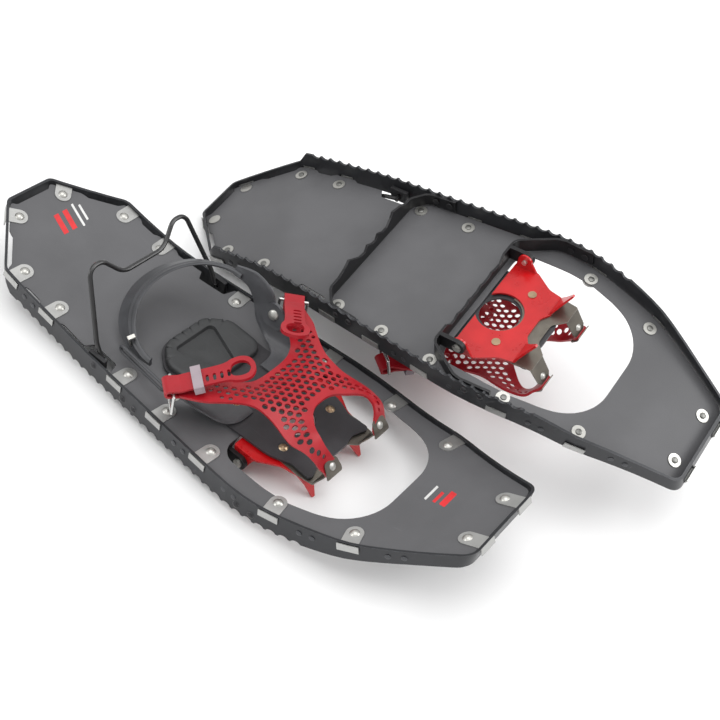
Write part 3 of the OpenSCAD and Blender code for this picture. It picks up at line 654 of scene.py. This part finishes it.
def pull_strap_pattern():
    """Pull strap laid flat: an even strap with five short slots that widens to a ring with a
    rounded D hole."""
    start = PULL_LOWER + np.pi * PULL_BEND + PULL_REACH
    end = start + PULL_RUN + 1.5
    half = [(1, 9.6), (start + 10, 9.6), (start + 30, 9.3), (end - 26, 10), (end - 19, 12.6),
            (end - 11, 13.4),
            (end - 4.5, 10.8), (end - 1, 5.5)]
    line = [(0, 0), (0.2, 9)] + half + [(end, 0)] + [(s, -t) for s,
                                                     t in reversed(half)] + [(0.2, -9)]
    outline = even_steps(smooth_line(line, 8), 1.2)
    ring = smooth_line([(end - 4.5, 0), (end - 7, 6.2), (end - 13, 8.6), (end - 19.5, 6.6),
                        (end - 22.5, 1.5),
                        (end - 22.5, -4.5), (end - 19, -7.6), (end - 12, -8.2), (end - 6.6, -6)], 4)
    middles = start + 18 + 6.4 * np.arange(5)
    slots = [smooth_line([(m - 1.2, -5.6), (m + 1.2, -5.6), (m + 1.3, 0.8), (m - 1.1, 0.8)],
                         3) for m in middles]
    return cut_pattern(outline, [ring] + slots, 2.0)


def leaf_shape(flat, sign):
    """Steel leaf over a strap end: a plane that slopes down to the toe, its last third bent down by
    a parabola."""
    a, b = flat[:, 0], flat[:, 1]
    bend = 0.05 * np.clip(b - 4, 0, None) ** 2
    place = np.array([34.6, 94.6, 28.0]) + a[:, None] * [1, 0, 0] + b[:, None] * [0, 0.64, -0.77]
    return (place - bend[:, None] * [0, 0.77, 0.64]) * [sign, 1, 1]


def add_straps(side, made):
    """Toe strap, the steel leaves and rivets over its front ends, and both pull straps."""
    outline, (flat, faces) = toe_strap_pattern()
    shape = plate_spline(strap_controls())
    edge = 2.1 + 0.5 * np.exp(-((edge_gap(flat, outline) / 2.0) ** 2))
    points, solid = thick_sheet(flat, faces, shape, edge)
    make_piece("toe_strap_net", points, solid, side, "binding", made["strap"], "red_strap",
               ("toe_strap",))
    leaf = even_steps(corner_loop([(-10.5, 10, 1.5), (10.5, 10, 1.5), (8, -6.5, 4), (-8, -6.5, 4)]),
                      1.5)
    flat, faces = cut_pattern(leaf, [], 3.0)
    leaves = []
    for sign in (1, -1):
        leaves.append(thick_sheet(flat, faces, lambda q, k=sign: leaf_shape(q, k), 1.0))
    make_piece("strap_leaves", *joined(leaves), side, "binding", made["plate"], "stainless_plate")
    for label, sign in (("outer", 1), ("inner", -1)):
        points, faces = dome(leaf_shape(np.array([[0.0, 0.5]]), sign)[0], (0, 0.77, 0.64), 3.8, 1.3)
        make_piece(f"{label}_leaf_rivet", points, faces, side, "binding", made["rivet"],
                   "rivet_steel", (), 40)
    flat, faces = pull_strap_pattern()
    for label, sign in (("outer", 1), ("inner", -1)):
        ringed = np.clip((flat[:, 0] - flat[:, 0].max() + 30) / 8, 0, 1)
        points, solid = thick_sheet(flat, faces, lambda q, k=sign: pull_strap_shape(q, k),
                                    2.3 + 1.1 * ringed)
        make_piece(f"{label}_pull_strap", points, solid, side, "binding", made["pull"], "red_strap")


# ---------------------------------------------------------------- harness


PAD_Y = -82  # middle of the heel pad


def about_pad(line):
    """Angle and distance of each point of a line about the middle of the heel pad."""
    away = line - [0, PAD_Y]
    return np.arctan2(away[:, 1], away[:, 0]), np.linalg.norm(away, axis=1)


def heel_pad_rings():
    """Heel pad: its outline carried up the wall, over a rounded notched rim and down to a
    three-cornered floor."""
    outline = even_steps(corner_loop(mirrored([(26, -112, 18), (44, -92, 18), (42, -48, 14)])), 1.0)
    outline = outline[np.argsort(about_pad(outline)[0])]
    angle, outer_r = about_pad(outline)
    hollow = even_steps(corner_loop([(-27, -101, 5), (27, -101, 5), (9, -56, 4), (-9, -56, 4)]),
                        1.0)
    hollow_angle, reach = about_pad(hollow)
    order = np.argsort(hollow_angle)
    floor_r = np.interp(angle, hollow_angle[order], reach[order], period=2 * np.pi)
    notch = np.clip(np.cos(angle * 18) * 6 - 4.9, 0, 1) * (outline[:, 1] < -84)
    levels = [(4.8, 0.0, 0), (8.6, -0.2, 0.3), (10.2, 0.3, 1), (11.2, 1.4, 1), (11.2, 4.6, 0.6),
              (10.7, 6.2, 0)]
    radii = [(z - 1.3 * notch * w, outer_r - d - 1.6 * notch * w) for z, d, w in levels]
    radii += [(np.full_like(angle, 10.5), floor_r + 1.4),
              (np.full_like(angle, 10.1), floor_r + 0.3),
              (np.full_like(angle, 6.3), floor_r - 0.9), (np.full_like(angle, 5.8), floor_r * 0.8),
              (np.full_like(angle, 6.6), floor_r * 0.35),
              (np.full_like(angle, 6.7), floor_r * 0.02)]
    rings = [(r * np.cos(angle), r * np.sin(angle) + PAD_Y, z + 0 * angle) for z, r in radii]
    return np.array([np.column_stack(ring) for ring in rings])


def add_harness(side, made):
    """Rubber sole with its round opening, heel pad, wings and heel strap."""
    sole = even_steps(corner_loop(mirrored([(28, -114, 18), (47, -92, 20), (45, -45, 40),
                                            (52, -8, 30), (50, 40, 40),
                                            (42, 60, 4), (44, 84, 4), (24, 77, 4), (12, 80, 6)])),
                                            2.5)
    holes = [circle_line(0, 27, 20, 48)]
    holes += [circle_line(x, y, 2.6) for x, y in ((33.7, 43), (-33.7, 43), (28.6, -18.8),
                                                  (-28.6, -18.8))]
    flat, faces = cut_pattern(sole, holes, 6.0)
    rim = np.exp(-((edge_gap(flat, sole) / 1.8) ** 2))
    points, solid = thick_sheet(flat, faces, lambda q: np.column_stack([q, np.full(len(q), 3.6)]),
                                2.0 + 0.5 * rim)
    make_piece("rubber_sole", points, solid, side, "binding", made["base"], "harness_rubber",
               ("harness_base",))

    rings = heel_pad_rings()
    faces = ring_faces(*rings.shape[:2], turned_round=True)
    piece = make_piece("heel_cushion", rings.reshape(-1, 3), faces, side, "binding", made["pad"],
                       "pad_rubber",
                       ("heel_pad",), 50)

    add_wings(side, made)
    add_heel_strap(side, made)
    add_heel_link(side, made)


def wing_surface(sections):
    """Rubber wing: cross lines joined by a cubic along the wing, thicker at its lipped edges."""
    sections = np.asarray(sections, float)
    lower, upper = smooth_line(sections[:, 0], 10, False), smooth_line(sections[:, 1], 10, False)
    t = np.linspace(0, 1, 17)[None, :, None]
    bulge = 1.2 * np.sin(np.pi * t)
    middle = lower[:, None] * (1 - t) + upper[:, None] * t
    along = np.gradient(middle, axis=0)
    cross = np.gradient(middle, axis=1)
    normal = np.cross(along, cross)
    normal /= np.linalg.norm(normal, axis=2)[..., None]
    lip = np.exp(-((np.minimum(t, 1 - t) / 0.07) ** 2))
    half = (0.95 + 0.6 * lip) * np.sqrt(np.clip(1.02 - (2 * t - 1) ** 30, 0.05, 1))
    middle = middle + bulge * normal * 0.5
    skin = np.concatenate([middle + half * normal, (middle - half * normal)[:, ::-1]], axis=1)
    return skin.reshape(-1, 3), ring_faces(*skin.shape[:2])


def add_wings(side, made):
    """High inner wing, low outer wing, a rivet on each and the inner tab; each section runs across
    its wing, from one edge to the other."""
    high = [((-24, -36, 5.9), (-24, -2, 5.9)), ((-44, -40, 6.2), (-44, -3, 6.2)),
            ((-54, -60, 9), (-57, -9, 12)),
            ((-58, -74, 18), (-61, -30, 25)), ((-60, -80, 30), (-63, -55, 41)),
            ((-60, -85, 40), (-62, -64, 59)),
            ((-60, -94, 47), (-61, -84, 68)), ((-59, -112, 49), (-60, -107, 62))]
    low = [((24, -36, 5.9), (24, -2, 5.9)), ((44, -38, 6.2), (44, -3, 6.2)),
           ((58, -50, 8), (58, -12, 9.5)),
           ((70, -64, 14), (70, -36, 20)), ((75, -68, 20), (75, -50, 29))]
    points, faces = wing_surface([(b, a) for a, b in high])
    make_piece("inner_wing", points, faces, side, "binding", made["wing"], "wing_rubber",
               ("side_wings",), 50)
    points, faces = wing_surface(low)
    make_piece("outer_wing", points, faces, side, "binding", made["wing"], "wing_rubber", (), 50)
    rivets = (("inner", (-57.4, -55, 37), (1.0, 0.1, 0.3)),
              ("outer", (72.4, -54, 21), (0.75, -0.1, 0.7)))
    for label, centre, axis in rivets:
        points, faces = dome(centre, axis, 5.4, 1.8)
        make_piece(f"{label}_wing_rivet", points, faces, side, "binding", made["rivet"],
                   "rivet_steel", (), 40)
    tab = even_steps(corner_loop([(-69, 22, 8), (-42, 22, 8), (-43, 44, 9), (-62, 52, 9)]), 1.5)
    flat, faces = cut_pattern(tab, [], 3.0)
    lip = 0.9 * np.exp(-((edge_gap(flat, tab) / 1.2) ** 2))

    def stood_up(q):
        return np.column_stack([-59.4 - 0.12 * (q[:, 1] - 37), q])

    points, solid = thick_sheet(flat, faces, stood_up, 2.4 + lip)
    make_piece("inner_wing_tab", points, solid, side, "binding", made["wing"], "wing_rubber", (),
               40)


BAND_RADIUS = 61.5
BAND_Y, BAND_Z, BAND_TILT = -103, 35, 17


def at_heel(points):
    """Heel-strap points tilted about Y and moved behind the heel."""
    c, s = math.cos(math.radians(BAND_TILT)), math.sin(math.radians(BAND_TILT))
    x, y, z = np.moveaxis(np.asarray(points, float), -1, 0)
    return np.stack([x * c + z * s, y + BAND_Y, -x * s + z * c + BAND_Z], axis=-1)


def add_heel_strap(side, made):
    """Rubber band round the heel: a ribbed flat profile carried along a half circle; it leans in
    behind the heel,
    the lean falling off as the square of the angle, and is narrower towards both ends."""
    turn = np.linspace(math.radians(176), math.radians(364), 97)
    across = np.column_stack([np.cos(turn), np.sin(turn), 0 * turn])
    path = BAND_RADIUS * across
    up = np.broadcast_to([0.0, 0, 1], path.shape)
    ring = np.linspace(0, 2 * np.pi, 44, endpoint=False)
    a = np.sign(np.cos(ring)) * np.abs(np.cos(ring)) ** 0.4 * 1.5
    b = np.sign(np.sin(ring)) * np.abs(np.sin(ring)) ** 0.8 * 8.2
    rib = 1.5 * np.exp(-(((b - 4.2) / 1.0) ** 2)) + 0.7 * np.exp(-(((np.abs(b) - 7.2) / 0.9) ** 2))
    a = a + np.sign(a) * rib
    swing = (turn - 1.5 * np.pi) / (np.pi / 2)
    taper = 1 - 0.42 * np.clip(np.abs(swing) - 0.55, 0, 1) / 0.45
    lean = 0.15 + 1.15 * np.clip(1 - swing**2, 0, 1)
    profile = np.stack([a - lean[:, None] * b * taper[:, None], b * taper[:, None]], axis=-1)
    points, faces = carried(path, across, up, profile)
    make_piece("heel_band", at_heel(points), faces, side, "binding", made["heel"], "heel_rubber",
               ("heel_strap",), 45)


def add_heel_link(side, made):
    """Loop strap between the low wing and the heel strap: a round cord section carried round a
    long flat loop that stands on edge."""
    loop = even_steps(corner_loop([(-31, -4, 3.9), (31, -4, 3.9), (31, 4, 3.9), (-31, 4, 3.9)]),
                      1.6)
    out = np.roll(loop, -1, axis=0) - np.roll(loop, 1, axis=0)
    out = np.column_stack([out[:, 1], -out[:, 0]]) / np.linalg.norm(out, axis=1)[:, None]
    cut = np.linspace(0, 2 * np.pi, 10, endpoint=False)
    profile = np.broadcast_to(np.column_stack([1.5 * np.cos(cut), 1.5 * np.sin(cut)]),
                              (len(loop), 10, 2))
    angle = math.radians(84)
    run, face = np.array([math.cos(angle), math.sin(angle), 0]), np.array([math.sin(angle),
                                                                           -math.cos(angle), 0])
    lift = np.array([0, 0, 1.0])
    path = np.array([66.8, -101, 13.5]) + loop[:, :1] * run + loop[:, 1:] * lift
    points, faces = carried(path, out[:, :1] * run + out[:, 1:] * lift,
                            np.broadcast_to(face, path.shape), profile, True)
    make_piece("heel_band_link", points, faces, side, "binding", made["heel"], "wing_rubber",
               ("heel_strap_link",), 60)


# ---------------------------------------------------------------- deck


def rise(y):
    """Height of the deck line: two shallow parabolas, one towards the toe and one towards the
    tail."""
    return np.where(y > 37, (y - 37) ** 2 / 682, np.where(y < -138, (y + 138) ** 2 / 1040, 0))


def deck_outline():
    """Deck edge: the frame line moved inwards, further round the tail and at the heel lift feet,
    less at clips."""
    frame_line = even_steps(corner_loop(mirrored(FRAME_HALF)), 2.0)
    tangent = np.roll(frame_line, -1, axis=0) - np.roll(frame_line, 1, axis=0)
    tangent /= np.linalg.norm(tangent, axis=1)[:, None]
    outward = np.column_stack([tangent[:, 1], -tangent[:, 0]])
    y = frame_line[:, 1]
    near = np.min([np.abs(y - at) for at in STATION_Y], axis=0)
    tail_clip = np.abs(np.abs(frame_line[:, 0]) - 36.4) + 100 * (y > -300)
    pads = np.clip((np.minimum(near, tail_clip) - 12) / 5, 0, 1)
    tail = np.clip((-95 - y) / 6, 0, 1)
    foot = np.clip((20 - np.abs(y + 143)) / 4, 0, 1)
    inset = 3.3 + 3.4 * tail * pads + (12.5 - 3.3) * foot * (np.abs(frame_line[:, 0]) > 60)
    return frame_line - outward * inset[:, None]


def deck_shape(q):
    """Deck surface: the side curve plus a slight fullness between the rivets."""
    sag = 0.25 * np.sin(q[:, 0] / 23 + 0.7) * np.sin(q[:, 1] / 31)
    return np.column_stack([q, rise(q[:, 1]) + sag])


def printed(q):
    """Just above the deck's upper face."""
    return deck_shape(q) + [0, 0, DECK_HALF + 0.06]


def bar(x, y, w, h):
    """A slanted bar: a parallelogram of the given width and height about its middle."""
    lean = 0.25 * h
    return np.array([(x - w / 2 - lean / 2, y - h / 2), (x + w / 2 - lean / 2, y - h / 2),
                     (x + w / 2 + lean / 2, y + h / 2), (x - w / 2 + lean / 2, y + h / 2)])


def add_deck(side, made):
    """Deck cloth with its toe opening, and the plain bars printed on it."""
    outline = deck_outline()
    toe_hole = even_steps(corner_loop(mirrored([(77, 6, 17), (79.5, 85, 150), (58, 153, 52)])), 2.5)
    flat, faces = cut_pattern(outline, [toe_hole], 9.0)
    points, solid = thick_sheet(flat, faces, deck_shape, 1.3)
    piece = make_piece("deck_cloth", points, solid, side, "frame", made["deck"], "deck_sheet",
                       ("deck",), 30)
    # The curve from tail to toe makes the cut longer and larger than its outline from above.
    red = [(-3, -284, 6, 22), (-14, -284, 6, 22), (-8, 189, 20, 6), (-6, 181, 15, 3)]
    pale = [(-25, -284, 2.6, 26), (-32, -284, 2.6, 18), (-8, 173, 20, 2.4)]
    for name, colour, places in (("red", "print_red", red), ("pale", "print_pale", pale)):
        cuts = [cut_pattern(even_steps(bar(*place), 1.5), [], 4.0) for place in places]
        bars = joined([thick_sheet(flat, faces, printed, 0.1) for flat, faces in cuts])
        make_piece(f"{name}_stripes", *bars, side, "frame", made[colour], "deck_sheet")


def rail_line():
    """Places (x, y) along the rail at positive x, from tail to toe."""
    line = even_steps(corner_loop(mirrored(FRAME_HALF)), 1.0)
    rail = line[(line[:, 0] > 30) & (line[:, 1] < 225)]
    return rail[np.argsort(rail[:, 1])].T


def add_washer_caps(side, made):
    """Peened rivet ends under the deck: one low dome on each washer, pointing down square to the
    deck."""
    rail_x, rail_y = rail_line()
    station = np.array(STATION_Y)
    x, ahead, behind = (np.interp(station + step, rail_y, rail_x) for step in (0, 6, -6))
    lean = ahead - behind
    out = np.column_stack([np.full(len(lean), 12.0), -lean]) / np.hypot(12, lean)[:, None]
    spots = np.vstack([np.column_stack([x, station]) - RIVET_INSET * out, TOE_RIVET])
    caps = []
    for x, y in np.vstack([spots, spots * [-1, 1]]):
        axis = np.array([0, float(rise(y + 1) - rise(y - 1)) / 2, -1.0])
        caps.append(dome(np.array([x, y, float(rise(y))]) + axis * 1.5, axis, 3.1, 0.7, 18))
    caps = joined(caps)
    make_piece("washer_caps", *caps, side, "frame", made["rivet_end"], "rivet_steel", (), 40)


def add_blade_marks(side, made):
    """Pairs of low dark rivets on the outside of the blade: domes half way between clips, square
    to the rail."""
    rail_x, rail_y = rail_line()
    marks = []
    for y in (-241, -229, -30, -18, 34, 46, 112, 124, 186, 198):
        x, before, after = np.interp((y, y - 5, y + 5), rail_y, rail_x)
        for sign in (1, -1):
            axis = np.array([10.0 * sign, before - after, 0])
            marks.append(dome(np.array([x * sign, y, float(rise(y)) - 4.2]), axis, 2.7, 0.25, 18))
    marks = joined(marks)
    make_piece("blade_marks", *marks, side, "frame", made["mark"], "dark_rivet", (), 40)


add_camera()
add_studio()
finishes = build_materials()
dress_nodes(finishes)
for shoe in SIDES:
    add_deck(shoe, finishes)
    add_washer_caps(shoe, finishes)
    add_blade_marks(shoe, finishes)
    add_harness(shoe, finishes)
    add_straps(shoe, finishes)
